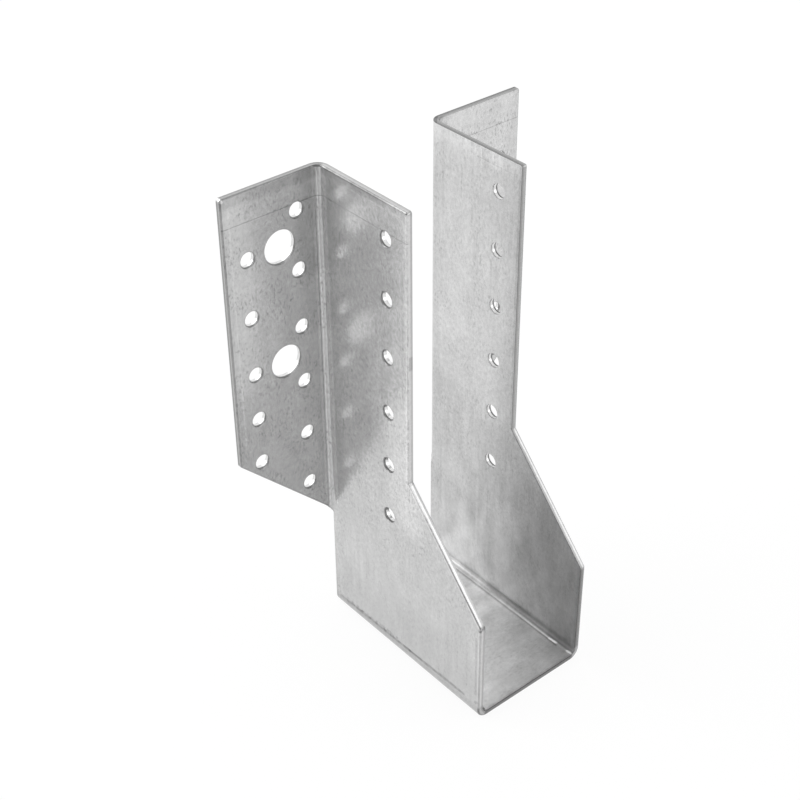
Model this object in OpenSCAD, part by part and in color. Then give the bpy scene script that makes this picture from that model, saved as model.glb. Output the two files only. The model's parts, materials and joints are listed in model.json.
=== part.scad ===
// Joist hanger, folded from one blank of galvanised sheet steel.
// The header plane is y = seat_depth / 2, the joist runs towards -Y, and z = 0 is the underside of the seat.

/* [Joist pocket] */
// Clear width between the two side plates
pocket_w = 41.5; // [30:0.5:120]
// Height of the side plates and flanges above the underside of the seat
height = 170; // [160:1:240]
// Length of the seat, from the header plane to its front edge
seat_depth = 75.5; // [60:0.5:110]
// Depth of the side plates above the slanted cut, from the header plane
upper_depth = 41.5; // [38:0.5:55]
// Height at which the slanted front cut starts on the seat's front edge
slant_low_z = 39.5; // [20:0.5:55]
// Height at which the slanted front cut meets the upper front edge
slant_high_z = 76; // [60:0.5:90]
// Setback of the seat and lower side plates from the header plane
back_gap = 2; // [0.5:0.1:3.5]

/* [Sheet] */
// Thickness of the sheet
sheet_t = 2; // [1:0.1:3]
// Inside radius of every bend
bend_r = 2; // [1:0.1:4]
// Radius of the blank's outer corners
corner_r = 0.8; // [0.3:0.1:2]

/* [Header flanges] */
// Width of each flange, from the side plate's outer face to the free edge
flange_w = 34.5; // [32:0.5:60]
// Height of the lower end of the flange's free edge
flange_low_z = 76.5; // [66:0.5:90]
// Angle of the flange's lower cut, from the horizontal
flange_cut_angle = 45; // [30:1:50]

/* [Fixing holes] */
// Diameter of the nail holes
nail_d = 5; // [3:0.1:6]
// Diameter of the bolt holes
bolt_d = 11; // [8:0.5:12]
// Vertical pitch of the nail holes
nail_pitch = 20; // [18:0.5:20]
// Height of the top edge above the first row of nail holes
first_row_drop = 12; // [8:0.5:16]
// Nail holes in each side plate and in each flange's inner column
nail_rows = 6; // [2:1:6]
// Nail holes in each flange's outer column that keep the full pitch
outer_rows = 3; // [1:1:3]
// Pitch of the closer holes at the foot of the outer column
low_pitch = 16.5; // [12:0.5:17]
// Closer holes at the foot of the outer column
low_rows = 2; // [0:1:2]
// Distance of the joist nails from the header plane
joist_nail_y = 32; // [14:0.5:34]
// Distance of the flange's inner nail column from the side plate's outer face
inner_column = 8.5; // [7.5:0.5:9]
// Distance of the flange's bolt column from the side plate's outer face
bolt_column = 15; // [14:0.5:17]
// Distance of the flange's outer nail column from the free edge
outer_column_edge = 8; // [5:0.5:8.5]
// Bolt holes in each flange
bolt_rows = 2; // [1:1:2]

/* [Hidden] */
$fn = 64;

zinc = "silver";
bend_outer_r = bend_r + sheet_t;
plate_inner_x = pocket_w / 2;
plate_outer_x = plate_inner_x + sheet_t;
flange_edge_x = plate_outer_x + flange_w;
header_y = seat_depth / 2;
bend_start_y = header_y - bend_outer_r;
back_y = header_y - back_gap;
front_y = header_y - seat_depth;
upper_front_y = header_y - upper_depth;
first_row_z = height - first_row_drop;
stagger = nail_pitch / 2;
flange_cut_slope = tan(flange_cut_angle);
overshoot = 1;
through = sheet_t + 2 * overshoot;
slant_angle = atan2(slant_high_z - slant_low_z, seat_depth - upper_depth);

// Height of the flange's lower cut at a distance x from the middle
function cut_z(x) = flange_low_z - (flange_edge_x - x) * flange_cut_slope;

// What rounding takes off a corner at the origin, whose sheet lies along +X between two edges
module corner_waste(half_angle) {
    centre_x = corner_r / sin(half_angle);
    reach = corner_r + overshoot;
    difference() {
        polygon([
            [centre_x, 0],
            [centre_x - reach * sin(half_angle), reach * cos(half_angle)],
            [centre_x - reach / sin(half_angle), 0],
            [centre_x - reach * sin(half_angle), -reach * cos(half_angle)]
        ]);
        translate([centre_x, 0])
            circle(r = corner_r);
    }
}

// Rounds the corner at a point between two edges that leave it at the given angles
module round_corner(point, first_angle, second_angle) {
    translate(point)
        rotate((first_angle + second_angle) / 2)
            corner_waste(abs(second_angle - first_angle) / 2);
}

// Quarter of a ring in the +X +Y quadrant, the section of a 90 degree bend
module bend_section() {
    intersection() {
        difference() {
            circle(r = bend_outer_r);
            circle(r = bend_r);
        }
        square(bend_outer_r);
    }
}

// Half of the U seen along Y: side plate, bend and half the seat, on the +X side
module half_u_section() {
    square([plate_inner_x - bend_r, sheet_t]);
    translate([plate_inner_x, bend_outer_r])
        square([sheet_t, height - bend_outer_r]);
    translate([plate_inner_x - bend_r, bend_outer_r])
        mirror([0, 1])
            bend_section();
}

// Outline of the U seen along X, with y from the front edge to the back edge
module side_outline() {
    difference() {
        polygon([
            [back_y, 0],
            [front_y, 0],
            [front_y, slant_low_z],
            [upper_front_y, slant_high_z],
            [upper_front_y, height],
            [bend_start_y, height],
            [bend_start_y, cut_z(plate_outer_x)],
            [back_y, cut_z(plate_outer_x)]
        ]);
        round_corner([front_y, slant_low_z], -90, slant_angle);
        round_corner([upper_front_y, height], -90, 0);
    }
}

// Side plate, bend and seat half on the +X side
module half_u() {
    intersection() {
        translate([0, header_y, 0])
            rotate([90, 0, 0])
                linear_extrude(seat_depth)
                    half_u_section();
        rotate([90, 0, 90])
            linear_extrude(plate_outer_x)
                side_outline();
    }
}

// Flange and its bend seen from above, on the +X side
module flange_section() {
    translate([plate_outer_x + bend_r, header_y - sheet_t])
        square([flange_w - bend_r, sheet_t]);
    translate([plate_outer_x + bend_r, bend_start_y])
        mirror([1, 0])
            bend_section();
}

// Outline of the flange seen along Y, with its slanted lower edge running on round the bend
module flange_outline() {
    difference() {
        polygon([
            [plate_inner_x, cut_z(plate_inner_x)],
            [flange_edge_x, flange_low_z],
            [flange_edge_x, height],
            [plate_inner_x, height]
        ]);
        round_corner([flange_edge_x, height], 180, 270);
        round_corner([flange_edge_x, flange_low_z], 90, 180 + flange_cut_angle);
    }
}

// One header flange with the bend that joins it to the side plate
module flange() {
    intersection() {
        linear_extrude(height)
            flange_section();
        translate([0, header_y + overshoot, 0])
            rotate([90, 0, 0])
                linear_extrude(bend_outer_r + 2 * overshoot)
                    flange_outline();
    }
}

// A hole through a flange, along Y
module flange_hole(x, z, d) {
    translate([x, header_y + overshoot, z])
        rotate([90, 0, 0])
            cylinder(h = through, d = d);
}

// Nail and bolt holes of one flange
module flange_holes() {
    outer_x = flange_edge_x - outer_column_edge;
    outer_top_z = first_row_z - stagger;
    outer_foot_z = outer_top_z - (outer_rows - 1) * nail_pitch;
    for (row = [0 : nail_rows - 1])
        flange_hole(plate_outer_x + inner_column, first_row_z - row * nail_pitch, nail_d);
    for (row = [0 : outer_rows - 1])
        flange_hole(outer_x, outer_top_z - row * nail_pitch, nail_d);
    for (row = [1 : 1 : low_rows])
        flange_hole(outer_x, outer_foot_z - row * low_pitch, nail_d);
    for (row = [0 : bolt_rows - 1])
        flange_hole(plate_outer_x + bolt_column, outer_top_z - 2 * row * nail_pitch, bolt_d);
}

// Column of joist nail holes through one side plate
module joist_nail_holes() {
    for (row = [0 : nail_rows - 1])
        translate([plate_inner_x - overshoot, header_y - joist_nail_y, first_row_z - row * nail_pitch])
            rotate([0, 90, 0])
                cylinder(h = through, d = nail_d);
}

// The +X half of the folded sheet
module half_hanger() {
    difference() {
        union() {
            half_u();
            flange();
        }
        flange_holes();
        joist_nail_holes();
    }
}

// The whole hanger: one folded sheet, the same on both sides of x = 0
module hanger() {
    color(zinc) {
        half_hanger();
        mirror([1, 0, 0])
            half_hanger();
    }
}

hanger();
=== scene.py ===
"""Joist hanger: the folded, punched sheet with rolled rims, its zinc, the light and the camera."""

import json
import logging
import math
from contextlib import contextmanager
from dataclasses import dataclass, fields
from enum import Enum, IntEnum
from functools import partial, reduce
from typing import Callable, Iterator, Sequence

import bmesh
import bpy
from mathutils import Matrix, Vector


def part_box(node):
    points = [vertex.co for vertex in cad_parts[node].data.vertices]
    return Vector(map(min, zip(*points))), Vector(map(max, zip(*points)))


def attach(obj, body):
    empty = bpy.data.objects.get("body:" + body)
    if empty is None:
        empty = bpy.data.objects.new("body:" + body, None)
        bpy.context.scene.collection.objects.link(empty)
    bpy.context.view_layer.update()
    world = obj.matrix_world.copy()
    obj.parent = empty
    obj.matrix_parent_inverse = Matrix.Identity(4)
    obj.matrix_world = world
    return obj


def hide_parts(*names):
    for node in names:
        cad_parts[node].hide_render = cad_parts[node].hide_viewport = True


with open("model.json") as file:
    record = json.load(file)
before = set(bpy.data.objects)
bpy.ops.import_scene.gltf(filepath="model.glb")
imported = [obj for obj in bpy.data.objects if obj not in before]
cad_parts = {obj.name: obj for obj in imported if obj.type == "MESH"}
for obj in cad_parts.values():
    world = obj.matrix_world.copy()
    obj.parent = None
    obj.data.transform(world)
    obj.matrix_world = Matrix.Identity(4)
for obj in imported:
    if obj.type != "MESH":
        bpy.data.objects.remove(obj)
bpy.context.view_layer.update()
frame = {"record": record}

log = logging.getLogger("hanger")
MM = 0.001
QUARTER_TURN = math.pi / 2
NODE = "hanger"
PLACE_ATTRIBUTE = "blank"

VertTest = Callable[[bmesh.types.BMVert], bool]
EdgeTest = Callable[[bmesh.types.BMEdge], bool]
FaceTest = Callable[[bmesh.types.BMFace], bool]
Socket = bpy.types.NodeSocket
Value = Socket | float | Sequence[float]
Feeds = dict[str | int, Value]


class Surface(IntEnum):
    """Material slots of the folded sheet, in the order of the mesh."""

    PUNCH_SIDE = 0
    DIE_SIDE = 1
    SHEARED = 2
    HOLE_WALL = 3


class Axis(Enum):
    """Directions of the row frame."""

    X = (1.0, 0.0, 0.0)
    Y = (0.0, 1.0, 0.0)
    Z = (0.0, 0.0, 1.0)

    @property
    def vector(self) -> Vector:
        """The direction as a vector."""
        return Vector(self.value)


class Part(Enum):
    """Parts of a mesh that a test picks, with the name that a bmesh has for their list."""

    VERT = "verts"
    EDGE = "edges"
    FACE = "faces"


class Bench:
    """Selection and edit mode helpers for work by operators."""

    @staticmethod
    def clear() -> None:
        """Leaves object mode with nothing selected."""
        if bpy.context.object and bpy.context.object.mode != "OBJECT":
            bpy.ops.object.mode_set(mode="OBJECT")
        bpy.ops.object.select_all(action="DESELECT")

    @staticmethod
    def pick(*pieces: bpy.types.Object) -> None:
        """Selects pieces and makes the first one active.

        Args:
            pieces: The objects to select.
        """
        Bench.clear()
        for piece in pieces:
            piece.select_set(True)
        bpy.context.view_layer.objects.active = pieces[0]

    @staticmethod
    @contextmanager
    def editing(piece: bpy.types.Object) -> Iterator[None]:
        """Opens a piece in edit mode with nothing selected, and closes it again.

        Args:
            piece: The object to edit.
        """
        Bench.pick(piece)
        bpy.ops.object.mode_set(mode="EDIT")
        bpy.ops.mesh.select_mode(type="VERT")
        bpy.ops.mesh.select_all(action="DESELECT")
        yield
        bpy.ops.object.mode_set(mode="OBJECT")

    @staticmethod
    def select(piece: bpy.types.Object, part: Part, test: VertTest | EdgeTest | FaceTest) -> None:
        """Selects the vertices, edges or faces that pass a test, and nothing else.

        Args:
            piece: The object in edit mode.
            part: Which of the three are tested.
            test: Says whether one of them belongs to the selection.
        """
        bpy.ops.mesh.select_mode(type=part.name)
        bpy.ops.mesh.select_all(action="DESELECT")
        shape = bmesh.from_edit_mesh(piece.data)
        for chosen in [each for each in getattr(shape, part.value) if test(each)]:
            chosen.select_set(True)
        shape.select_flush_mode()
        bmesh.update_edit_mesh(piece.data)

    @staticmethod
    def apply(piece: bpy.types.Object, kind: str, **settings: object) -> None:
        """Adds a modifier, sets it up and applies it.

        Args:
            piece: The object to change.
            kind: The modifier's type.
            settings: Its settings by name.
        """
        Bench.pick(piece)
        modifier = piece.modifiers.new(kind.title(), kind)
        for key, value in settings.items():
            setattr(modifier, key, value)
        bpy.ops.object.modifier_apply(modifier=modifier.name)


@dataclass(frozen=True)
class BlankSizes:
    """Sizes of the folded sheet in metres, in the row frame.

    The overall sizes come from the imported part. The others are the sheet's own driving dimensions.
    """

    thickness: float
    plate_outer_x: float
    flange_edge_x: float
    height: float
    header_y: float
    bend_r: float = 2 * MM
    back_gap: float = 2 * MM
    upper_depth: float = 41.5 * MM
    slant_low_z: float = 39.5 * MM
    slant_high_z: float = 76 * MM
    flange_low_z: float = 76.5 * MM
    corner_r: float = 0.8 * MM
    runout_margin: float = 1.5 * MM

    @classmethod
    def from_frame(cls) -> "BlankSizes":
        """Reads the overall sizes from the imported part.

        Returns:
            The sizes of the sheet.
        """
        places = {entry["name"]: entry["pos_m"] for entry in frame["record"]["mounts"]}
        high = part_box(NODE)[1]
        return cls(
            thickness=places["seat_top"][2],
            plate_outer_x=places["joist_nails_right_1"][0],
            flange_edge_x=high.x,
            height=high.z,
            header_y=high.y,
        )

    @property
    def bend_outer_r(self) -> float:
        """Outside radius of a bend."""
        return self.bend_r + self.thickness

    @property
    def neutral_r(self) -> float:
        """Radius of the sheet's middle in a bend."""
        return self.bend_r + self.thickness / 2

    @property
    def bend_length(self) -> float:
        """Length of sheet that a bend takes up, at its middle."""
        return self.neutral_r * QUARTER_TURN

    @property
    def seat_flat_x(self) -> float:
        """Where the seat ends and its bend begins."""
        return self.plate_outer_x - self.bend_outer_r

    @property
    def flange_flat_x(self) -> float:
        """Where the flange bend ends and the flange begins."""
        return self.plate_outer_x + self.bend_r

    @property
    def front_y(self) -> float:
        """The seat's front edge."""
        return -self.header_y

    @property
    def back_y(self) -> float:
        """The back edge of the seat and of the lower side plates."""
        return self.header_y - self.back_gap

    @property
    def bend_start_y(self) -> float:
        """Where the side plate ends and the flange bend begins."""
        return self.header_y - self.bend_outer_r

    @property
    def upper_front_y(self) -> float:
        """The upper front edge of the side plates."""
        return self.header_y - self.upper_depth

    @property
    def bend_low_z(self) -> float:
        """Where the flange's 45 degree cut meets the side plate's outer face."""
        return self.flange_low_z - (self.flange_edge_x - self.plate_outer_x)

    @property
    def runout_low_z(self) -> float:
        """Where the flange bend starts to rise out of the flat side plate."""
        return self.slant_low_z - self.runout_margin

    @property
    def runout_high_z(self) -> float:
        """Where the flange bend has its full angle."""
        return self.bend_low_z + self.runout_margin

    @property
    def slant_angle(self) -> float:
        """Angle of the slanted front cut from the horizontal."""
        return math.atan2(self.slant_high_z - self.slant_low_z, self.upper_front_y - self.front_y)

    def bend_turn(self, point: Vector) -> float:
        """Angle round the flange bend's axis at which a point lies, from the side plate on."""
        return math.atan2(point.y - self.bend_start_y, self.flange_flat_x - point.x)

    def bend_share(self, z: float) -> float:
        """Says how much of the flange bend's angle there is at a height.

        Args:
            z: The height.

        Returns:
            The share, from 0 below the run-out to 1 above it.
        """
        t = (z - self.runout_low_z) / (self.runout_high_z - self.runout_low_z)
        t = max(0.0, min(1.0, t))
        return t * t * (3 - 2 * t)


@dataclass(frozen=True)
class Hole:
    """One punched hole: its centre in the sheet, its axis and its radius."""

    LEAST_BOLT_RADIUS = 4 * MM

    centre: Vector
    axis: Axis
    radius: float

    @property
    def is_bolt(self) -> bool:
        """Whether it takes a bolt and not a nail."""
        return self.radius > self.LEAST_BOLT_RADIUS

    @property
    def turn(self) -> tuple[float, float, float]:
        """How an upright punch is turned to go through it."""
        return (0, QUARTER_TURN, 0) if self.axis is Axis.X else (QUARTER_TURN, 0, 0)

    @classmethod
    def pattern(cls, entry: dict) -> list["Hole"]:
        """Lists the holes of one bolt pattern.

        Args:
            entry: The pattern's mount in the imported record.

        Returns:
            One hole for each corner of the rectangle, or end of the line.
        """
        axis = Axis.X if abs(entry["axis"][0]) > 0.5 else Axis.Y
        across = Axis.Y.vector if axis is Axis.X else Axis.X.vector
        dims = entry["dims"]
        half_across = dims.get("spacing_x_mm", 0.0) * MM / 2
        half_up = dims.get("spacing_y_mm", 0.0) * MM / 2
        centre = Vector(entry["pos_m"])
        radius = dims["hole_r_mm"] * MM
        return [
            cls(centre + across * half_across * side + Axis.Z.vector * half_up * level, axis, radius)
            for side in ((-1, 1) if half_across else (0,))
            for level in ((-1, 1) if half_up else (0,))
        ]

    @classmethod
    def punched(cls) -> list["Hole"]:
        """Lists every hole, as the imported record's bolt patterns place them."""
        entries = [entry for entry in frame["record"]["mounts"] if entry["kind"] == "bolt_pattern"]
        return [hole for entry in entries for hole in cls.pattern(entry)]


@dataclass
class FoldedSheet:
    """The hanger as one sheet: blanked, folded, mirrored, thickened, punched and rolled at its rims."""

    sizes: BlankSizes
    holes: Sequence[Hole]
    piece: bpy.types.Object | None = None
    roll_width: float = 0.55 * MM
    hole_roll_width: float = 0.35 * MM
    roll_steps: int = 4
    burr_width: float = 0.12 * MM
    burr_steps: int = 2
    round_profile: float = 0.5
    bend_steps: int = 14
    back_column: int = 6
    runout_step: float = 0.5 * MM
    flat_share: float = 0.001
    unfold_share: float = 0.01
    corner_steps: int = 5
    nail_segments: int = 56
    bolt_segments: int = 88
    punch_reach: float = 8 * MM
    tiny: float = 0.01 * MM
    sliver: float = 0.05 * MM
    flat_angle: float = math.radians(0.5)
    smooth_angle: float = math.radians(40)

    def build(self) -> bpy.types.Object:
        """Makes the sheet's mesh.

        Returns:
            The finished piece.
        """
        self.lay_seat()
        self.fold_plate()
        self.shape_plate()
        self.fold_flange()
        self.run_out_bend()
        self.round_corners()
        self.mirror_half()
        self.thicken()
        self.punch()
        self.roll_rims()
        self.write_sheet_places()
        self.smooth()
        return self.piece

    def edge_at(self, index: int, value: float) -> EdgeTest:
        """Makes a test for edges whose ends both have a value of x, y or z, for index 0, 1 or 2."""
        return lambda edge: all(abs(vert.co[index] - value) < self.tiny for vert in edge.verts)

    def select_corner(self, place: Vector) -> None:
        """Selects the vertex at a place, in edit mode."""
        Bench.select(self.piece, Part.VERT, lambda vert: (vert.co - place).length < self.tiny)

    def cut(self, where: FaceTest, place: Vector, normal: Vector) -> None:
        """Cuts faces by a plane and removes those that lie on the side that its normal points to.

        Args:
            where: Which faces are cut.
            place: A point on the plane.
            normal: The plane's normal.
        """
        with Bench.editing(self.piece):
            Bench.select(self.piece, Part.FACE, where)
            bpy.ops.mesh.bisect(plane_co=place, plane_no=normal, threshold=self.tiny / 10)
            Bench.select(
                self.piece,
                Part.FACE,
                lambda face: where(face) and (face.calc_center_median() - place).dot(normal) > self.tiny,
            )
            bpy.ops.mesh.delete(type="FACE")

    def lay_seat(self) -> None:
        """Starts with half the seat's underside as a flat strip."""
        s = self.sizes
        Bench.clear()
        bpy.ops.mesh.primitive_plane_add(size=1.0, location=(0, 0, 0))
        self.piece = bpy.context.object
        self.piece.name = "folded_sheet"
        with Bench.editing(self.piece):
            bpy.ops.mesh.select_all(action="SELECT")
            bpy.ops.transform.resize(value=(s.seat_flat_x, s.back_y - s.front_y, 1.0))
            bpy.ops.transform.translate(value=(s.seat_flat_x / 2, (s.back_y + s.front_y) / 2, 0))
            bpy.ops.mesh.flip_normals()

    def spin_bend(self, centre: tuple[float, float, float], axis: Axis) -> None:
        """Spins the selected edges by a right angle, as every bend is made."""
        bpy.ops.mesh.spin(steps=self.bend_steps, angle=QUARTER_TURN, center=centre, axis=axis.value)

    def fold_plate(self) -> None:
        """Spins the seat's bend from the seat's side and extrudes the side plate up from it."""
        s = self.sizes
        with Bench.editing(self.piece):
            Bench.select(self.piece, Part.EDGE, self.edge_at(0, s.seat_flat_x))
            self.spin_bend((s.seat_flat_x, 0, s.bend_outer_r), Axis.Y)
            low = s.bend_outer_r
            for level in self.plate_levels():
                Bench.select(self.piece, Part.EDGE, self.edge_at(2, low))
                bpy.ops.mesh.extrude_region_move(TRANSFORM_OT_translate={"value": (0, 0, level - low)})
                low = level

    def plate_levels(self) -> list[float]:
        """Lists the heights at which the side plate gets a row of vertices.

        Returns:
            The rows of the bend's run-out, the top of the slanted cut and the plate's top.
        """
        s = self.sizes
        rows = round((s.runout_high_z - s.runout_low_z) / self.runout_step)
        levels = [s.runout_low_z + row * self.runout_step for row in range(rows + 1)]
        return levels + [s.slant_high_z, s.height]

    def shape_plate(self) -> None:
        """Draws the side plate's front back along its slant and cuts its back edge."""
        s = self.sizes
        with Bench.editing(self.piece):
            for level in self.plate_levels():
                self.select_corner(Vector((s.plate_outer_x, s.front_y, level)))
                draw = (min(level, s.slant_high_z) - s.slant_low_z) / math.tan(s.slant_angle)
                bpy.ops.transform.translate(value=(0, max(0.0, draw), 0))
        self.cut(
            lambda face: face.calc_center_median().z > s.runout_low_z,
            Vector((0, s.bend_start_y, 0)),
            Axis.Y.vector,
        )
        with Bench.editing(self.piece):
            Bench.select(self.piece, Part.EDGE, self.is_bend_foot)
            bpy.ops.mesh.subdivide(number_cuts=self.back_column - 1)

    def is_bend_foot(self, edge: bmesh.types.BMEdge) -> bool:
        """Tests for the edge behind the bend's start, where the run-out begins."""
        behind = all(vert.co.y > self.sizes.bend_start_y - self.tiny for vert in edge.verts)
        return behind and self.edge_at(2, self.sizes.runout_low_z)(edge)

    def fold_flange(self) -> None:
        """Spins the flange's bend from the plate's back edge, extrudes the flange and cuts its foot."""
        s = self.sizes
        with Bench.editing(self.piece):
            Bench.select(self.piece, Part.EDGE, self.edge_at(1, s.bend_start_y))
            self.spin_bend((s.flange_flat_x, s.bend_start_y, 0), Axis.Z)
            Bench.select(self.piece, Part.EDGE, self.edge_at(0, s.flange_flat_x))
            run = s.flange_edge_x - s.flange_flat_x
            bpy.ops.mesh.extrude_region_move(TRANSFORM_OT_translate={"value": (run, 0, 0)})
        self.cut(
            lambda face: face.calc_center_median().x > s.flange_flat_x,
            Vector((s.flange_edge_x, 0, s.flange_low_z)),
            Vector((1, 0, -1)).normalized(),
        )
        self.cut_bend_foot()

    def cut_bend_foot(self) -> None:
        """Carries the flange's lower cut on over the bend, straight on the blank."""
        s = self.sizes
        turn = QUARTER_TURN * self.back_column / self.bend_steps
        run = s.bend_r * math.cos(turn)
        drop = (QUARTER_TURN - turn) * s.neutral_r
        foot_z = s.flange_low_z - (s.flange_edge_x - s.flange_flat_x)

        def beyond_back_edge(face: bmesh.types.BMFace) -> bool:
            """Tests for the bend's faces that lie beyond the plate's back edge on the blank."""
            c = face.calc_center_median()
            return s.plate_outer_x + self.tiny < c.x < s.flange_flat_x and s.bend_turn(c) > turn

        normal = Vector((drop, 0, -run)).normalized()
        self.cut(beyond_back_edge, Vector((s.flange_flat_x, 0, foot_z)), normal)

    def run_out_bend(self) -> None:
        """Unbends the lower end of the flange bend, so that it runs out into the plate's back edge."""
        s = self.sizes
        with Bench.editing(self.piece):
            shape = bmesh.from_edit_mesh(self.piece.data)
            for vert in shape.verts:
                share = s.bend_share(vert.co.z)
                behind = vert.co.y > s.bend_start_y + self.tiny
                if behind and vert.co.z > s.runout_low_z - self.tiny and share < 1:
                    self.unbend(vert, share)
            bmesh.update_edit_mesh(self.piece.data)
            bpy.ops.mesh.select_all(action="SELECT")
            bpy.ops.mesh.remove_doubles(threshold=self.sliver)

    def unbend(self, vert: bmesh.types.BMVert, share: float) -> None:
        """Moves a vertex of the bend to where it lies with only a share of the bend's angle.

        Args:
            vert: The vertex.
            share: The share of the angle.
        """
        s = self.sizes
        if vert.co.x < s.plate_outer_x + self.tiny:
            return
        turn = s.bend_turn(vert.co)
        if share < self.flat_share:
            vert.co.x = s.plate_outer_x
            vert.co.y = s.bend_start_y + turn * s.neutral_r
            return
        radius = s.neutral_r / share - s.thickness / 2
        vert.co.x = s.plate_outer_x + radius * (1 - math.cos(turn * share))
        vert.co.y = s.bend_start_y + radius * math.sin(turn * share)

    def round_corners(self) -> None:
        """Rounds the blank's outer corners."""
        s = self.sizes
        flange_y = s.header_y - s.thickness
        corners = (
            (Vector((s.plate_outer_x, s.upper_front_y, s.height)), QUARTER_TURN),
            (Vector((s.plate_outer_x, s.front_y, s.slant_low_z)), QUARTER_TURN + s.slant_angle),
            (Vector((s.flange_edge_x, flange_y, s.height)), QUARTER_TURN),
            (Vector((s.flange_edge_x, flange_y, s.flange_low_z)), QUARTER_TURN * 1.5),
        )
        with Bench.editing(self.piece):
            for place, opening in corners:
                self.select_corner(place)
                reach = s.corner_r / math.tan(opening / 2)
                bpy.ops.mesh.bevel(offset=reach, segments=self.corner_steps, affect="VERTICES")

    def mirror_half(self) -> None:
        """Adds the other half and joins the two in the middle of the seat."""
        Bench.apply(self.piece, "MIRROR", use_axis=(True, False, False), merge_threshold=self.tiny)

    def thicken(self) -> None:
        """Gives the sheet its thickness towards the die side, with the sheared rim in its own slot."""
        for surface in Surface:
            self.piece.data.materials.append(bpy.data.materials.new(surface.name.lower()))
        Bench.apply(
            self.piece,
            "SOLIDIFY",
            thickness=self.sizes.thickness,
            offset=-1.0,
            use_even_offset=True,
            material_offset=int(Surface.DIE_SIDE),
            material_offset_rim=int(Surface.SHEARED),
        )
        with Bench.editing(self.piece):
            bpy.ops.mesh.select_all(action="SELECT")
            bpy.ops.mesh.dissolve_limited(angle_limit=self.flat_angle, delimit={"MATERIAL"})

    def punch(self) -> None:
        """Punches every hole with a cylinder that leaves its wall in a slot of its own."""
        punches = []
        for hole in self.holes:
            Bench.clear()
            bpy.ops.mesh.primitive_cylinder_add(
                vertices=self.bolt_segments if hole.is_bolt else self.nail_segments,
                radius=hole.radius,
                depth=self.punch_reach,
                location=hole.centre,
                rotation=hole.turn,
            )
            punches.append(bpy.context.object)
        Bench.pick(*punches)
        bpy.ops.object.join()
        tool = bpy.context.object
        tool.data.materials.append(self.piece.data.materials[Surface.HOLE_WALL])
        settings = {"operation": "DIFFERENCE", "solver": "EXACT", "material_mode": "TRANSFER"}
        Bench.apply(self.piece, "BOOLEAN", object=tool, **settings)
        Bench.pick(tool)
        bpy.ops.object.delete()

    def roll_rims(self) -> None:
        """Rolls the punch side's rims over and leaves a small burr radius on the die side's rims."""
        with Bench.editing(self.piece):
            bpy.ops.mesh.select_all(action="SELECT")
            bpy.ops.mesh.remove_doubles(threshold=self.tiny / 10)
            widths = {Surface.SHEARED: self.roll_width, Surface.HOLE_WALL: self.hole_roll_width}
            for wall, width in widths.items():
                self.roll({Surface.PUNCH_SIDE, wall}, width, self.roll_steps, Surface.PUNCH_SIDE)
                self.roll({Surface.DIE_SIDE, wall}, self.burr_width, self.burr_steps, wall)

    def roll(self, pair: set[Surface], width: float, steps: int, slot: Surface) -> None:
        """Rounds the edges between a broad side and a kind of wall.

        Args:
            pair: The broad side and the kind of wall.
            width: How far the rounding reaches.
            steps: How many faces it has.
            slot: The slot that its faces get.
        """
        Bench.select(
            self.piece,
            Part.EDGE,
            lambda edge: {face.material_index for face in edge.link_faces} == pair,
        )
        settings = {"clamp_overlap": False, "loop_slide": True, "material": int(slot)}
        bpy.ops.mesh.bevel(offset=width, segments=steps, profile=self.round_profile, **settings)

    def write_sheet_places(self) -> None:
        """Stores each vertex's place on the flat blank and its depth, for the materials."""
        data = self.piece.data
        places = data.attributes.new(PLACE_ATTRIBUTE, "FLOAT_VECTOR", "POINT")
        for vert, entry in zip(data.vertices, places.data):
            entry.vector = self.blank_place(vert.co)

    def blank_place(self, point: Vector) -> Vector:
        """Unfolds a point of the sheet.

        Args:
            point: A point in or on the sheet.

        Returns:
            Its place across the blank and along it, and its depth from the punch side.
        """
        s = self.sizes
        side = 1.0 if point.x >= 0 else -1.0
        x = abs(point.x)
        if x < s.seat_flat_x:
            return Vector((point.y, side * x, point.z))
        if point.z < s.bend_outer_r:
            out, down = x - s.seat_flat_x, s.bend_outer_r - point.z
            along = s.seat_flat_x + math.atan2(out, down) * s.neutral_r
            return Vector((point.y, side * along, s.bend_outer_r - math.hypot(out, down)))
        along = side * (s.seat_flat_x + s.bend_length + point.z - s.bend_outer_r)
        if x > s.flange_flat_x:
            across = s.bend_start_y + s.bend_length + x - s.flange_flat_x
            return Vector((across, along, point.y - s.header_y + s.thickness))
        share = s.bend_share(point.z)
        if point.y > s.bend_start_y and share > self.unfold_share:
            radius = s.neutral_r / share - s.thickness / 2
            back, inward = point.y - s.bend_start_y, s.plate_outer_x + radius - x
            across = s.bend_start_y + math.atan2(back, inward) / share * s.neutral_r
            return Vector((across, along, math.hypot(back, inward) - radius))
        return Vector((point.y, along, s.plate_outer_x - x))

    def smooth(self) -> None:
        """Shades the bends and rolled rims smooth and keeps the broad faces flat."""
        Bench.pick(self.piece)
        bpy.ops.object.shade_smooth_by_angle(angle=self.smooth_angle)
        Bench.apply(self.piece, "WEIGHTED_NORMAL", mode="FACE_AREA", weight=100, keep_sharp=True)

    def dress(self) -> None:
        """Gives the broad sides their zinc, and the sheared edges and hole walls their own finishes."""
        slots = self.piece.data.materials
        grain = ZincGrain()
        mask = StrokeMask()
        ZincFinish(slots[Surface.PUNCH_SIDE], PUNCH_SIDE_LOOK, grain, mask)
        ZincFinish(slots[Surface.DIE_SIDE], DIE_SIDE_LOOK, grain, mask)
        ShearedFinish(slots[Surface.SHEARED], SHEARED_LOOK, mask)
        ShearedFinish(slots[Surface.HOLE_WALL], HOLE_WALL_LOOK, mask)


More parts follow.
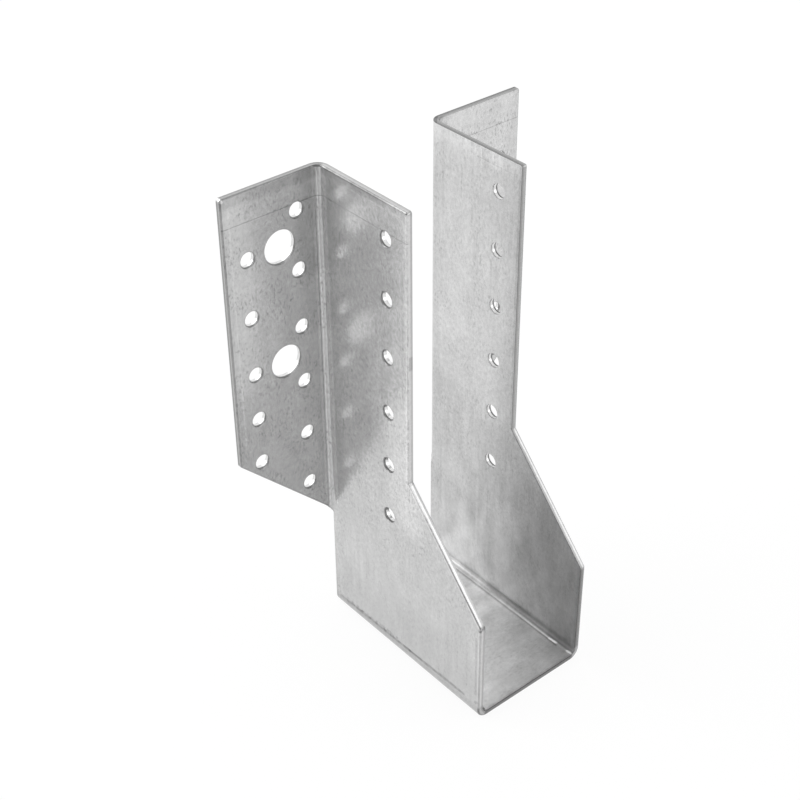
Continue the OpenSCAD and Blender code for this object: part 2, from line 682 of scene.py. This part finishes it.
@dataclass(frozen=True)
class Graph:
    """A node tree, with short calls for the nodes that the finishes use."""

    tree: bpy.types.NodeTree

    @classmethod
    def cleared(cls, owner: bpy.types.Material | bpy.types.World) -> "Graph":
        """Empties the node tree of a material or world.

        Args:
            owner: The material or world.

        Returns:
            Its tree.
        """
        owner.use_nodes = True
        owner.node_tree.nodes.clear()
        return cls(owner.node_tree)

    def node(self, kind: str, feeds: Feeds | None = None, **settings: object) -> bpy.types.Node:
        """Adds a node.

        Args:
            kind: The node's type.
            feeds: A socket or a plain value for each of its inputs, by name or number.
            settings: Its properties by name.

        Returns:
            The node.
        """
        made = self.tree.nodes.new(kind)
        for key, value in settings.items():
            setattr(made, key, value)
        self.feed(made.inputs, feeds or {})
        return made

    def feed(self, inputs: bpy.types.NodeInputs, feeds: Feeds) -> None:
        """Links sockets to inputs, or sets inputs to plain values.

        Args:
            inputs: A node's inputs.
            feeds: A socket or a plain value for each input, by name or number.
        """
        for key, value in feeds.items():
            if isinstance(value, bpy.types.NodeSocket):
                self.tree.links.new(value, inputs[key])
            else:
                inputs[key].default_value = value

    def math(self, operation: str, first: Value, second: Value = 0.0, third: Value = 0.0) -> Socket:
        """Gives the result of a Math node."""
        feeds = {0: first, 1: second, 2: third}
        return self.node("ShaderNodeMath", feeds, operation=operation).outputs[0]

    def product(self, *values: Value) -> Value:
        """Multiplies the values."""
        return reduce(partial(self.math, "MULTIPLY"), values)

    def total(self, *values: Value) -> Value:
        """Adds the values."""
        return reduce(partial(self.math, "ADD"), values)

    def swing(self, value: Socket, size: Value) -> Socket:
        """Turns a noise round 0.5 into a swing round 0, of full size for a noise of 0 or 1."""
        return self.product(self.math("MULTIPLY_ADD", value, 2.0, -1.0), size)

    def mix(self, share: Value, first: Value, second: Value) -> Socket:
        """Blends two numbers, with the second one's share."""
        return self.node("ShaderNodeMix", {0: share, 2: first, 3: second}, data_type="FLOAT").outputs[0]

    def vector(self, operation: str, first: Value, second: Value) -> Socket:
        """Gives the result of a Vector Math node, which is a number for a dot product or a distance."""
        made = self.node("ShaderNodeVectorMath", {0: first, 1: second}, operation=operation)
        return made.outputs["Value" if operation in ("DOT_PRODUCT", "DISTANCE") else "Vector"]

    def stretch(self, place: Socket, across: float, along: float, deep: float = 1.0) -> Socket:
        """Scales a place on the blank across it, along it and through the sheet."""
        return self.vector("MULTIPLY", place, (across, along, deep))

    def rise(self, value: Value, start: Value, end: Value) -> Socket:
        """Goes smoothly from 0 to 1 as a value goes from start to end."""
        feeds = {"Value": value, "From Min": start, "From Max": end}
        return self.node("ShaderNodeMapRange", feeds, interpolation_type="SMOOTHSTEP").outputs["Result"]

    def bump(self, height: Socket, distance: float) -> Socket:
        """Turns a height from 0 to 1 into a normal, with the distance as its full size in metres."""
        return self.node("ShaderNodeBump", {"Height": height, "Distance": distance}).outputs["Normal"]

    def split(self, vector: Socket) -> tuple[Socket, ...]:
        """Takes a vector apart into its three numbers."""
        return tuple(self.node("ShaderNodeSeparateXYZ", {0: vector}).outputs)

    def blank(self) -> Socket:
        """Reads the place on the blank that the sheet's mesh carries."""
        settings = {"attribute_type": "GEOMETRY", "attribute_name": PLACE_ATTRIBUTE}
        return self.node("ShaderNodeAttribute", **settings).outputs["Vector"]

    def show(self, shader: Socket) -> None:
        """Makes a shader the material's surface."""
        self.node("ShaderNodeOutputMaterial", {"Surface": shader})


@dataclass(frozen=True)
class Pattern:
    """A noise on the blank: its scale, its stretch and, where it is a mask, the step from 0 to 1."""

    per_metre: float
    octaves: float
    roughness: float = 0.5
    along: float = 1.0
    deep: float = 1.0
    step: tuple[float, float] | None = None

    def draw(self, graph: Graph, place: Socket) -> Socket:
        """Adds the pattern to a tree.

        Args:
            graph: The tree.
            place: The place on the blank.

        Returns:
            The noise or mask, from 0 to 1.
        """
        feeds = {"Scale": self.per_metre, "Detail": self.octaves, "Roughness": self.roughness}
        feeds["Vector"] = graph.stretch(place, 1.0, self.along, self.deep)
        noise = graph.node("ShaderNodeTexNoise", feeds).outputs["Fac"]
        return graph.rise(noise, *self.step) if self.step else noise


class SharedEffect:
    """A shader node group with named inputs and outputs, built once and placed in each material."""

    def __init__(self, name: str, vectors: str, numbers: str, outputs: str) -> None:
        """Makes the group's tree and its sockets.

        Args:
            name: The group's name.
            vectors: Names of the inputs that are vectors.
            numbers: Names of the inputs that are numbers.
            outputs: Names of the outputs, which are numbers.
        """
        self.tree = bpy.data.node_groups.new(name, "ShaderNodeTree")
        for labels, way, kind in (
            (vectors, "INPUT", "NodeSocketVector"),
            (numbers, "INPUT", "NodeSocketFloat"),
            (outputs, "OUTPUT", "NodeSocketFloat"),
        ):
            for label in labels.split():
                self.tree.interface.new_socket(name=label, in_out=way, socket_type=kind)
        self.graph = Graph(self.tree)
        self.entry = self.graph.node("NodeGroupInput").outputs
        self.exit = self.graph.node("NodeGroupOutput").inputs

    def place(self, graph: Graph, **values: Value) -> bpy.types.NodeOutputs:
        """Adds the group to a tree with values for its inputs, and gives its outputs."""
        return graph.node("ShaderNodeGroup", values, node_tree=self.tree).outputs


@dataclass(frozen=True)
class CoatZone:
    """How strong each part of the coat's pattern is on one part of the sheet."""

    speckle: float
    pepper: float
    cloud: float
    streak: float
    scratch: float


class ZincGrain(SharedEffect):
    """The zinc coat's pattern: grain, pepper specks, soft clouds, streaks and scratches."""

    GRAIN = Pattern(900, 3, roughness=0.65, along=0.7)
    DUST = Pattern(3200, 2)
    PEPPER = Pattern(1550, 2, along=0.45, step=(0.50, 0.68))
    CLUSTER = Pattern(120, 3, step=(0.36, 0.62))
    CLOUD = Pattern(150, 4, roughness=0.6, along=0.45)
    STREAK = Pattern(420, 3, roughness=0.7, along=0.06)
    PATCH = Pattern(55, 2, step=(0.38, 0.62))
    SCRATCH = Pattern(1500, 1, along=0.09, step=(0.66, 0.78))
    DUST_IN_TONE = 0.4
    STREAK_IN_HEIGHT = 0.35

    def __init__(self) -> None:
        """Builds the group."""
        super().__init__(
            "zinc_grain", "Place", "Side Speckle Pepper Cloud Streak Scratch", "Tone Height Haze"
        )
        g = self.graph
        shift = g.node("ShaderNodeCombineXYZ", {2: self.entry["Side"]})
        spot = g.vector("ADD", self.entry["Place"], shift.outputs[0])
        grain = self.GRAIN.draw(g, spot)
        cloud = self.CLOUD.draw(g, spot)
        streak = self.STREAK.draw(g, spot)
        patch = self.PATCH.draw(g, spot)
        specks = g.product(self.PEPPER.draw(g, spot), self.CLUSTER.draw(g, spot))
        tone = g.total(
            1.0,
            g.swing(g.mix(self.DUST_IN_TONE, grain, self.DUST.draw(g, spot)), self.entry["Speckle"]),
            g.product(specks, self.entry["Pepper"], -1.0),
            g.swing(cloud, self.entry["Cloud"]),
            g.product(g.swing(streak, self.entry["Streak"]), patch),
            g.product(self.SCRATCH.draw(g, spot), patch, self.entry["Scratch"], -1.0),
        )
        height = g.mix(self.STREAK_IN_HEIGHT, grain, streak)
        g.feed(self.exit, {"Tone": tone, "Height": height, "Haze": cloud})


@dataclass(frozen=True)
class Stroke:
    """A straight mark, or a band of painted light or painted shade, on the blank: its ends in
    millimetres across and along it, and its shade.
    """

    across: float
    along: float
    end_across: float
    end_along: float
    half_width: float
    shade: float
    broken: float = 0.0

    @property
    def feeds(self) -> dict[str, Value]:
        """The stroke's values for the mask, in metres.

        Returns:
            The values by the names of the mask's inputs.
        """
        start = (self.across * MM, self.along * MM, 0.0)
        end = (self.end_across * MM, self.end_along * MM, 0.0)
        return {"Start": start, "End": end, "Half": self.half_width * MM, "Broken": self.broken}


class StrokeMask(SharedEffect):
    """The mask of one straight mark or band of painted light or shade: full along its middle, soft at
    its sides, broken up by flecks.
    """

    TINY_SQUARE = 1e-12
    CORE = 0.25
    FLECK = Pattern(700, 2, roughness=0.6)
    FLECK_EDGE = 0.1
    WOBBLE_PER_METRE = 450
    WOBBLE = 0.35 * MM

    def __init__(self) -> None:
        """Builds the group."""
        super().__init__("stroke_mask", "Place Start End", "Half Fleck Broken", "Mask")
        g = self.graph
        run = g.vector("SUBTRACT", self.entry["End"], self.entry["Start"])
        offset = g.vector("SUBTRACT", self.entry["Place"], self.entry["Start"])
        square = g.math("MAXIMUM", g.vector("DOT_PRODUCT", run, run), self.TINY_SQUARE)
        share = g.math("DIVIDE", g.vector("DOT_PRODUCT", offset, run), square)
        share = g.math("MAXIMUM", g.math("MINIMUM", share, 1.0), 0.0)
        reached = g.node("ShaderNodeVectorMath", {0: run, "Scale": share}, operation="SCALE")
        away = g.vector("DISTANCE", offset, reached.outputs[0])
        line = g.rise(away, self.entry["Half"], g.product(self.entry["Half"], self.CORE))
        above = g.math("SUBTRACT", self.entry["Fleck"], self.entry["Broken"])
        kept = g.rise(above, -self.FLECK_EDGE, self.FLECK_EDGE)
        g.feed(self.exit, {"Mask": g.product(line, kept)})

    def shade(self, graph: Graph, place: Socket, strokes: Sequence[Stroke]) -> Value:
        """Adds the marks and the bands of painted light and shade to a tree.

        Args:
            graph: The tree.
            place: The place on the blank.
            strokes: The marks and the painted bands.

        Returns:
            One, plus what the marks and the painted light and shade add.
        """
        if not strokes:
            return 1.0
        flat = graph.stretch(place, 1.0, 1.0, 0.0)
        jitter = graph.node("ShaderNodeTexNoise", {"Vector": flat, "Scale": self.WOBBLE_PER_METRE})
        sway = graph.vector("SUBTRACT", jitter.outputs["Color"], (0.5, 0.5, 0.5))
        spot = graph.vector("ADD", flat, graph.stretch(sway, self.WOBBLE, self.WOBBLE, 0.0))
        fleck = self.FLECK.draw(graph, flat)
        parts: list[Value] = [1.0]
        for stroke in strokes:
            drawn = self.place(graph, Place=spot, Fleck=fleck, **stroke.feeds)
            parts.append(graph.product(drawn["Mask"], stroke.shade))
        return graph.total(*parts)


def strokes(*rows: Sequence[float]) -> tuple[Stroke, ...]:
    """Makes a stroke of each row of numbers."""
    return tuple(Stroke(*row) for row in rows)


PUNCH_MARKS_AND_PAINTED_LIGHT = strokes(
    # Scribed lines below the tops
    (-3.8, -179.76, 71, -179.76, 0.22, -0.3),
    (-3.8, 179.76, 71, 179.76, 0.22, -0.3),
    # Painted shade in and beside the flange bends, with painted highlight lines along them
    (37.2, -62, 37.2, -189.5, 3, -0.16),
    (37.2, 62, 37.2, 189.5, 3, -0.16),
    (33.4, -66, 33.4, -189.5, 1.4, 0.26),
    (38.5, -66, 38.5, -189.5, 1, 0.18),
    (36.1, -75, 36.1, -192, 12, -0.07),
    (36.9, -64, 36.9, -188.2, 0.24, 0.22),
    (36.9, 64, 36.9, 188.2, 0.24, 0.22),
    # Left flange's free edge
    (70.2, -97, 70.2, -189, 1.2, -0.06),
    (68.5, -99, 68.5, -186, 0.45, 0.1),
    # Shade below the left top edge
    (-3, -188.3, 34, -188.3, 1.4, -0.12),
    (-3, -189.3, 34, -189.3, 0.9, -0.18),
    (38, -187.8, 70, -187.8, 3, -0.16),
    (41, -158, 41, -186, 7, -0.15),
    # Painted reflections on the left plate as lighter patches, and a light dotted line under the top
    # edge
    (25, -176, 27, -187, 9, 0.08),
    (8, -118, 6, -140, 11, 0.13),
    (6, -183, 1, -186, 9, 0.1),
    (-1, -187, 22, -187, 0.28, 0.12, 0.35),
    # Painted light along the left plate's front edges, which also takes back the painted rim shade there
    (-3.75, -84, -3.75, -189, 13, 0.17),
    (-3.5, -97, -3.5, -188, 2.2, 0.08),
    (-3.7, -96.5, -3.7, -188, 0.9, 0.2),
    (-37.5, -58.8, -3.9, -95, 0.7, 0.36),
    (-37.6, -25, -37.6, -57, 0.9, 0.25),
    # Dotted tool lines behind the left plate's lower front edge
    (-36.2, -30, -36, -54, 0.8, -0.14, 0.3),
    (-31.9, -31, -31.9, -50, 0.5, -0.18, 0.52),
    (-27.3, -33, -27.2, -44, 0.5, -0.14, 0.52),
    # Shade and scuffs along the left plate's foot
    (28, -31, -30, -36, 15, -0.08),
    (35, -21.9, -37.2, -22.1, 4.6, -0.17),
    (33, -24.4, 24, -24.7, 0.8, -0.16),
    (24, -24.7, -4, -25.2, 0.95, -0.22),
    (-4, -25.2, -30.6, -25.9, 0.9, -0.24),
    (29, -24.9, 2, -25.7, 1.6, -0.3, 0.53),
    (-1, -25.2, -10, -25.4, 0.7, -0.2),
    (-12, -25.6, -29, -25.9, 1.2, -0.14, 0.5),
    (-36.2, -26.2, -36.9, -26.8, 0.9, -0.24),
    # Corner spots
    (-37.3, -58, -37.6, -59.2, 0.9, -0.28),
    (70.3, -188.7, 70.7, -189.3, 0.7, 0.55),
    # Painted light and shade in soft patches
    (54, 120, 54, 185, 30, 0.1),
    (-0.7, -164, -0.7, -178, 9, -0.06),
    (-33.4, -37, -33.4, -42, 7, 0.06),
)
DIE_MARKS_AND_PAINTED_LIGHT = strokes(
    # Painted shade in the seat bends, with painted light and dark lines along the right one, and bright
    # spots
    (36, 20.3, -38, 20.3, 1.7, -0.58),
    (36, -20.3, -36, -20.3, 1.7, -0.5),
    (35, 17.8, -30, 17.8, 0.75, 0.08),
    (35, 19.7, -30, 19.7, 0.45, 0.22),
    (35, 18.9, -31, 18.9, 0.6, -0.3),
    (-27.4, 19.5, -30.2, 20, 0.9, 0.42),
    (-35.6, 20, -36.9, 20.3, 0.8, 0.5),
    # Scribed line, and a painted highlight along the top of the right plate
    (15.5, 185.4, 10.7, 185.4, 0.24, -0.25),
    (10.7, 185.4, -0.8, 185.4, 0.24, -0.12),
    (33, 189, -2, 189, 6, 0.13),
    # Painted shade low on the right plate
    (-14, 63, -10, 70, 14, -0.13),
    (-31, 27, -34, 31, 10, -0.11),
    # Dotted draw lines
    (30.4, 150, 30.4, 188, 0.8, -0.08, 0.36),
    (22.1, 168, 22.1, 180, 0.45, -0.14, 0.46),
    (17.2, 160, 17.2, 168.5, 0.45, -0.16, 0.44),
    (24.6, 118, 24.6, 158, 0.6, -0.07, 0.48),
    # Painted light and shade in soft patches
    (15, 112, 15, 188, 26, 0.09),
    (-4, 38, -30, 36, 26, -0.13),
    (30, 2, -8, 2, 20, -0.09),
    (24, 12, 8, 12, 10, -0.08),
    (6, 72, 4, 84, 14, -0.09),
    (14, 112, 14, 140, 26, 0.06),
    (9.9, 45, 9.9, 53, 12, -0.1),
    (9.3, 12, 9.3, 15, 9, -0.05),
    (-24, 0, -20, 0, 14, 0.05),
    (-12.8, 12.9, -6.8, 12.9, 11, 0.08),
    (-0.7, 135, -0.7, 151, 8, 0.08),
    (11, 77, 11, 89, 12, 0.05),
    (29.1, 121, 29.1, 137, 8, 0.04),
    # Fine draw lines
    (11.7, 34, 11.7, 66, 0.9, 0.08),
    (6.5, 50, 6.5, 69, 0.6, -0.1, 0.4),
    (5.8, 127, 5.8, 170, 1.2, -0.05),
    (30.5, 45, 30.5, 72, 0.7, -0.06),
    # Dark front edges of the right plate and of the seat
    (-3.2, 97, -3.2, 188.5, 0.8, -0.14),
    (-37.2, 24, -37.2, 58, 0.8, -0.12),
    (-37.5, 59.3, -3.5, 95.7, 0.55, -0.28),
    (-37.4, -18.5, -37.4, 18.5, 0.6, -0.22),
)
EDGE_MARKS_AND_PAINTED_LIGHT = strokes(
    # Painted light and shade on the tops
    (37.5, -189.5, 70, -189.5, 1.5, 0.05),
    (-2.5, -189.5, 34, -189.5, 1.5, 0.42),
    (-2.5, 189.5, 34, 189.5, 1.5, -0.18),
    (37.5, 189.5, 70, 189.5, 1.5, -0.3),
    # Painted light and shade on the front edges and slanted cuts
    (-3.75, -97, -3.75, -187.5, 1.5, 0.42),
    (-36.6, -60.2, -4.9, -94.2, 1.5, 0.43),
    (-36.6, 60.2, -4.9, 94.2, 1.5, 0.18),
    (-37.75, -26, -37.75, -57.5, 1.5, 0.35),
    (-37.75, 25, -37.75, 57.5, 1.5, -0.38),
    (-37.75, -19, -37.75, 19, 1.5, -0.55),
    # Nicks and corners
    (-3.75, -137.4, -3.75, -141.6, 0.35, -0.35),
    (-37.6, -58.4, -37.75, -59.2, 0.8, -0.35),
    (70.3, -188.7, 70.9, -189.4, 0.8, 0.9),
)


@dataclass(frozen=True)
class ZincLook:
    """Levels of the zinc coat on one broad side, with its marks, painted light and shade, and painted
    rim shade.
    """

    side: float
    marks: Sequence[Stroke]
    seat: CoatZone
    plate: CoatZone
    flange: CoatZone
    grey: float = 0.59
    metallic: float = 0.85
    roughness: float = 0.245
    haze: float = 0.03
    # Painted shade on the punch side's rolled rims: the share it takes off the grey.
    rim_shade: float = -0.42
    rim_depth: float = 0.03 * MM
    rim_start: float = 0.1
    grain_height: float = 0.002 * MM


PUNCH_SIDE_LOOK = ZincLook(
    side=0.0,
    marks=PUNCH_MARKS_AND_PAINTED_LIGHT,
    seat=CoatZone(speckle=0.26, pepper=0.08, cloud=0.15, streak=0.20, scratch=0.16),
    plate=CoatZone(speckle=0.62, pepper=0.22, cloud=0.13, streak=0.14, scratch=0.12),
    flange=CoatZone(speckle=0.42, pepper=0.30, cloud=0.19, streak=0.05, scratch=0.0),
)
DIE_SIDE_LOOK = ZincLook(
    side=0.5,
    marks=DIE_MARKS_AND_PAINTED_LIGHT,
    seat=CoatZone(speckle=0.30, pepper=0.12, cloud=0.44, streak=0.16, scratch=0.05),
    plate=CoatZone(speckle=0.46, pepper=0.17, cloud=0.16, streak=0.34, scratch=0.30),
    flange=CoatZone(speckle=0.36, pepper=0.22, cloud=0.22, streak=0.05, scratch=0.0),
    roughness=0.30,
    haze=0.02,
    rim_shade=0.0,
    grain_height=0.0007 * MM,
)


@dataclass(frozen=True)
class ShearLook:
    """Levels of the punched edges."""

    marks: Sequence[Stroke] = ()
    metallic: float = 0.9
    burnished: float = 0.44
    torn: float = 0.34
    burnished_roughness: float = 0.24
    torn_roughness: float = 0.5
    burnish_depth: float = 1.2 * MM
    wander: float = 0.3 * MM
    # Painted shade at the die side's burr, as a share of the grey.
    burr: float = 0.68
    burr_depth: float = 1.82 * MM
    # Painted shade at the lip on the punch side, as a share of the grey; 1.0 leaves none.
    lip: float = 1.0
    lip_depth: float = 0.75 * MM
    torn_height: float = 0.05 * MM


SHEARED_LOOK = ShearLook(marks=EDGE_MARKS_AND_PAINTED_LIGHT)
HOLE_WALL_LOOK = ShearLook(burnished=0.76, burnish_depth=2.6 * MM, lip=0.20)


class Finish:
    """A material with a Principled shader that its subclass dresses."""

    def __init__(self, material: bpy.types.Material, metallic: float) -> None:
        """Takes over a material.

        Args:
            material: The material to dress.
            metallic: How much of it shines as metal.
        """
        self.graph = Graph.cleared(material)
        principled = self.graph.node("ShaderNodeBsdfPrincipled", {"Metallic": metallic})
        self.shader = principled.inputs
        self.graph.show(principled.outputs["BSDF"])

    def coat(self, colour: Value, roughness: Value, normal: Value) -> None:
        """Feeds what changes over the surface to the shader."""
        self.graph.feed(self.shader, {"Base Color": colour, "Roughness": roughness, "Normal": normal})


class ZincFinish(Finish):
    """The zinc coat of the broad sides, with levels of its own on seat, plates and flanges, and a
    painted shade on the rolled rims.
    """

    PLATE_END = 26 * MM
    FLANGE_START = 36 * MM
    SEAT_END = 40 * MM
    PLATE_START = 90 * MM

    def __init__(
        self, material: bpy.types.Material, look: ZincLook, grain: ZincGrain, mask: StrokeMask
    ) -> None:
        """Dresses the material.

        Args:
            material: The material to dress.
            look: The coat's levels, marks and painted light and shade.
            grain: The coat's pattern.
            mask: What draws the marks and the painted light and shade.
        """
        super().__init__(material, look.metallic)
        g = self.graph
        place = g.blank()
        across, along, depth = g.split(place)
        on_flange = g.rise(across, self.PLATE_END, self.FLANGE_START)
        on_plate = g.rise(g.math("ABSOLUTE", along), self.SEAT_END, self.PLATE_START)
        levels = {}
        for level in fields(CoatZone):
            zones = (look.seat, look.plate, look.flange)
            seat, plate, flange = (getattr(zone, level.name) for zone in zones)
            levels[level.name.title()] = g.mix(on_flange, g.mix(on_plate, seat, plate), flange)
        coat = grain.place(g, Place=place, Side=look.side, **levels)
        # Painted shade darkens the punch side's rolled rims.
        rim = g.rise(depth, look.rim_depth * look.rim_start, look.rim_depth)
        marks_painted_light_and_shade = g.total(mask.shade(g, place, look.marks), g.product(rim, look.rim_shade))
        self.coat(
            g.product(coat["Tone"], marks_painted_light_and_shade, look.grey),
            g.total(look.roughness, g.swing(coat["Haze"], look.haze)),
            g.bump(coat["Height"], look.grain_height),
        )


class ShearedFinish(Finish):
    """The punched edges: a painted shade as a dark lip, a burnished band next to it, torn metal beyond
    and a painted shade at the burr.
    """

    WANDER = Pattern(260, 3, deep=0.0)
    FIBRE = Pattern(2200, 2, deep=0.25)
    LUMP = Pattern(1600, 3, roughness=0.6)
    EDGE_FADE = 0.08 * MM
    TORN_START = 0.85
    TORN_END = 1.15
    FIBRE_IN_TONE = 0.3
    FIBRE_IN_HEIGHT = 0.15

    def __init__(self, material: bpy.types.Material, look: ShearLook, mask: StrokeMask) -> None:
        """Dresses the material.

        Args:
            material: The material to dress.
            look: The edges' levels, marks and painted light and shade.
            mask: What draws the marks and the painted light and shade.
        """
        super().__init__(material, look.metallic)
        g = self.graph
        place = g.blank()
        depth = g.split(place)[2]
        wander = g.swing(self.WANDER.draw(g, place), look.wander)
        band = look.burnish_depth
        torn = g.rise(g.total(depth, wander), band * self.TORN_START, band * self.TORN_END)
        fibre = self.FIBRE.draw(g, place)
        fibrous = g.math("MULTIPLY_ADD", fibre, self.FIBRE_IN_TONE, 1.0 - self.FIBRE_IN_TONE / 2)
        # Painted shade at the burr and at the lip.
        burr = g.rise(depth, look.burr_depth, look.burr_depth + self.EDGE_FADE)
        lip = g.rise(depth, look.lip_depth + self.EDGE_FADE, look.lip_depth)
        grey = g.mix(torn, look.burnished, look.torn)
        grey = g.product(grey, g.mix(burr, 1.0, look.burr), g.mix(lip, 1.0, look.lip))
        height = g.mix(torn, g.product(fibre, self.FIBRE_IN_HEIGHT), self.LUMP.draw(g, place))
        self.coat(
            g.product(grey, fibrous, mask.shade(g, place, look.marks)),
            g.mix(torn, look.burnished_roughness, look.torn_roughness),
            g.bump(height, look.torn_height),
        )


def direction(azimuth: float, elevation: float) -> Vector:
    """Makes a unit vector from an angle round Z, from the X axis on, and an angle above the floor."""
    flat = math.cos(elevation)
    return Vector((flat * math.cos(azimuth), flat * math.sin(azimuth), math.sin(elevation)))


def set_up(name: str, data: bpy.types.Camera | bpy.types.Light) -> bpy.types.Object:
    """Adds a camera or lamp to the scene.

    Args:
        name: Its name.
        data: Its data.

    Returns:
        Its object.
    """
    made = bpy.data.objects.new(name, data)
    bpy.context.scene.collection.objects.link(made)
    return made


@dataclass(frozen=True)
class PhotoCamera:
    """The photograph's camera: where it aims, from how far, from which side and how wide."""

    aim: Vector = Vector((3.25 * MM, 31.23 * MM, 77.01 * MM))
    distance: float = 516.2 * MM
    azimuth: float = math.radians(-39.671)
    elevation: float = math.radians(35.319)
    roll: float = math.radians(0.573)
    lens: float = 70.558
    near: float = 10 * MM

    def place(self) -> None:
        """Adds the camera to the scene."""
        data = bpy.data.cameras.new("camera")
        data.lens = self.lens
        data.clip_start = self.near
        camera = set_up("camera", data)
        bearing = direction(self.azimuth - QUARTER_TURN, self.elevation)
        turn = bearing.to_track_quat("Z", "Y").to_matrix().to_4x4()
        spot = Matrix.Translation(self.aim + bearing * self.distance)
        camera.matrix_world = spot @ turn @ Matrix.Rotation(-self.roll, 4, "Z")
        bpy.context.scene.camera = camera


@dataclass(frozen=True)
class Softbox:
    """A large soft lamp: its direction from the hanger, its distance, its size and its brightness."""

    WATTS_PER_SQUARE_METRE = 4

    name: str
    azimuth: float
    elevation: float
    width: float
    height: float
    brightness: float
    distance: float = 2.0

    def place(self) -> None:
        """Hangs the lamp and points it at the hanger."""
        data = bpy.data.lights.new(self.name, "AREA")
        data.shape = "RECTANGLE"
        data.size = self.width
        data.size_y = self.height
        data.energy = self.WATTS_PER_SQUARE_METRE * self.brightness * self.width * self.height
        lamp = set_up(self.name, data)
        bearing = direction(self.azimuth, self.elevation)
        lamp.location = bearing * self.distance
        lamp.rotation_euler = bearing.to_track_quat("Z", "Y").to_euler()
        lamp.visible_camera = False


@dataclass(frozen=True)
class Studio:
    """The pale floor, the white surround, two softboxes and the grey card beside the camera."""

    floor_half: float = 6.0
    floor_drop: float = 0.02 * MM
    floor_grey: float = 0.9
    floor_glow: float = 0.92
    card_azimuth: float = math.radians(-150)
    card_distance: float = 3.5
    card_width: float = 6.0
    card_height: float = 4.5
    card_grey: float = 0.30
    boxes: tuple[Softbox, ...] = (
        Softbox("back_softbox", math.radians(122), math.radians(36), 2.5, 1.9, 1.35),
        Softbox("side_softbox", math.radians(-60), math.radians(17), 3.0, 1.1, 0.7),
    )

    def build(self) -> None:
        """Sets up the whole studio."""
        self.lay_floor()
        self.stand_card()
        self.light_world()
        for box in self.boxes:
            box.place()

    @staticmethod
    def matt(piece: bpy.types.Object, grey: float) -> tuple[Graph, Socket]:
        """Gives a piece of the studio a material with a matt grey.

        Args:
            piece: The floor or the card.
            grey: The grey.

        Returns:
            The material's tree, and the matt shader, which isn't shown yet.
        """
        material = bpy.data.materials.new(piece.name)
        piece.data.materials.append(material)
        graph = Graph.cleared(material)
        return graph, graph.node("ShaderNodeBsdfDiffuse", {"Color": (grey, grey, grey, 1.0)}).outputs[0]

    def lay_floor(self) -> None:
        """Lays the floor that the hanger stands on, white to the eye and in the metal."""
        Bench.clear()
        bpy.ops.mesh.primitive_plane_add(size=2 * self.floor_half, location=(0, 0, -self.floor_drop))
        floor = bpy.context.object
        floor.name = "floor"
        g, matt = self.matt(floor, self.floor_grey)
        rays = g.node("ShaderNodeLightPath").outputs
        seen = g.math("MAXIMUM", rays["Is Camera Ray"], rays["Is Glossy Ray"])
        seen = g.math("MAXIMUM", seen, rays["Is Transmission Ray"])
        glow = g.node("ShaderNodeEmission").outputs[0]
        blend = {0: g.product(seen, self.floor_glow), 1: matt, 2: glow}
        g.show(g.node("ShaderNodeMixShader", blend).outputs[0])

    def stand_card(self) -> None:
        """Stands the grey card beside the camera, out of its sight, to shade the metal's near sides."""
        Bench.clear()
        bpy.ops.mesh.primitive_plane_add(size=1.0, location=(0, 0, 0))
        card = bpy.context.object
        card.name = "grey_card"
        with Bench.editing(card):
            bpy.ops.mesh.select_all(action="SELECT")
            bpy.ops.transform.resize(value=(self.card_height, self.card_width, 1.0))
        foot = direction(self.card_azimuth, 0.0) * self.card_distance
        card.data.transform(Matrix.Rotation(QUARTER_TURN, 4, "Y"))
        card.data.transform(Matrix.Rotation(self.card_azimuth, 4, "Z"))
        card.data.transform(Matrix.Translation(foot + Vector((0, 0, self.card_height / 2))))
        g, matt = self.matt(card, self.card_grey)
        g.show(matt)
        card.visible_camera = False

    def light_world(self) -> None:
        """Surrounds the scene with even white light."""
        world = bpy.data.worlds.new("surround")
        bpy.context.scene.world = world
        g = Graph.cleared(world)
        light = g.node("ShaderNodeBackground", {"Color": (1.0, 1.0, 1.0, 1.0)})
        g.node("ShaderNodeOutputWorld", {"Surface": light.outputs[0]})


def main() -> None:
    """Builds the sheet, dresses it and sets the studio and the camera."""
    logging.basicConfig(level=logging.INFO, format="%(name)s: %(message)s")
    sheet = FoldedSheet(BlankSizes.from_frame(), Hole.punched())
    piece = sheet.build()
    sheet.dress()
    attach(piece, "root")
    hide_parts(NODE)
    log.info("%s: %d faces, %d finishes", piece.name, len(piece.data.polygons), len(Surface))
    Studio().build()
    PhotoCamera().place()
    log.info("studio and camera are set")
    bpy.context.scene.view_settings.view_transform = "Standard"


if __name__ == "__main__":
    main()
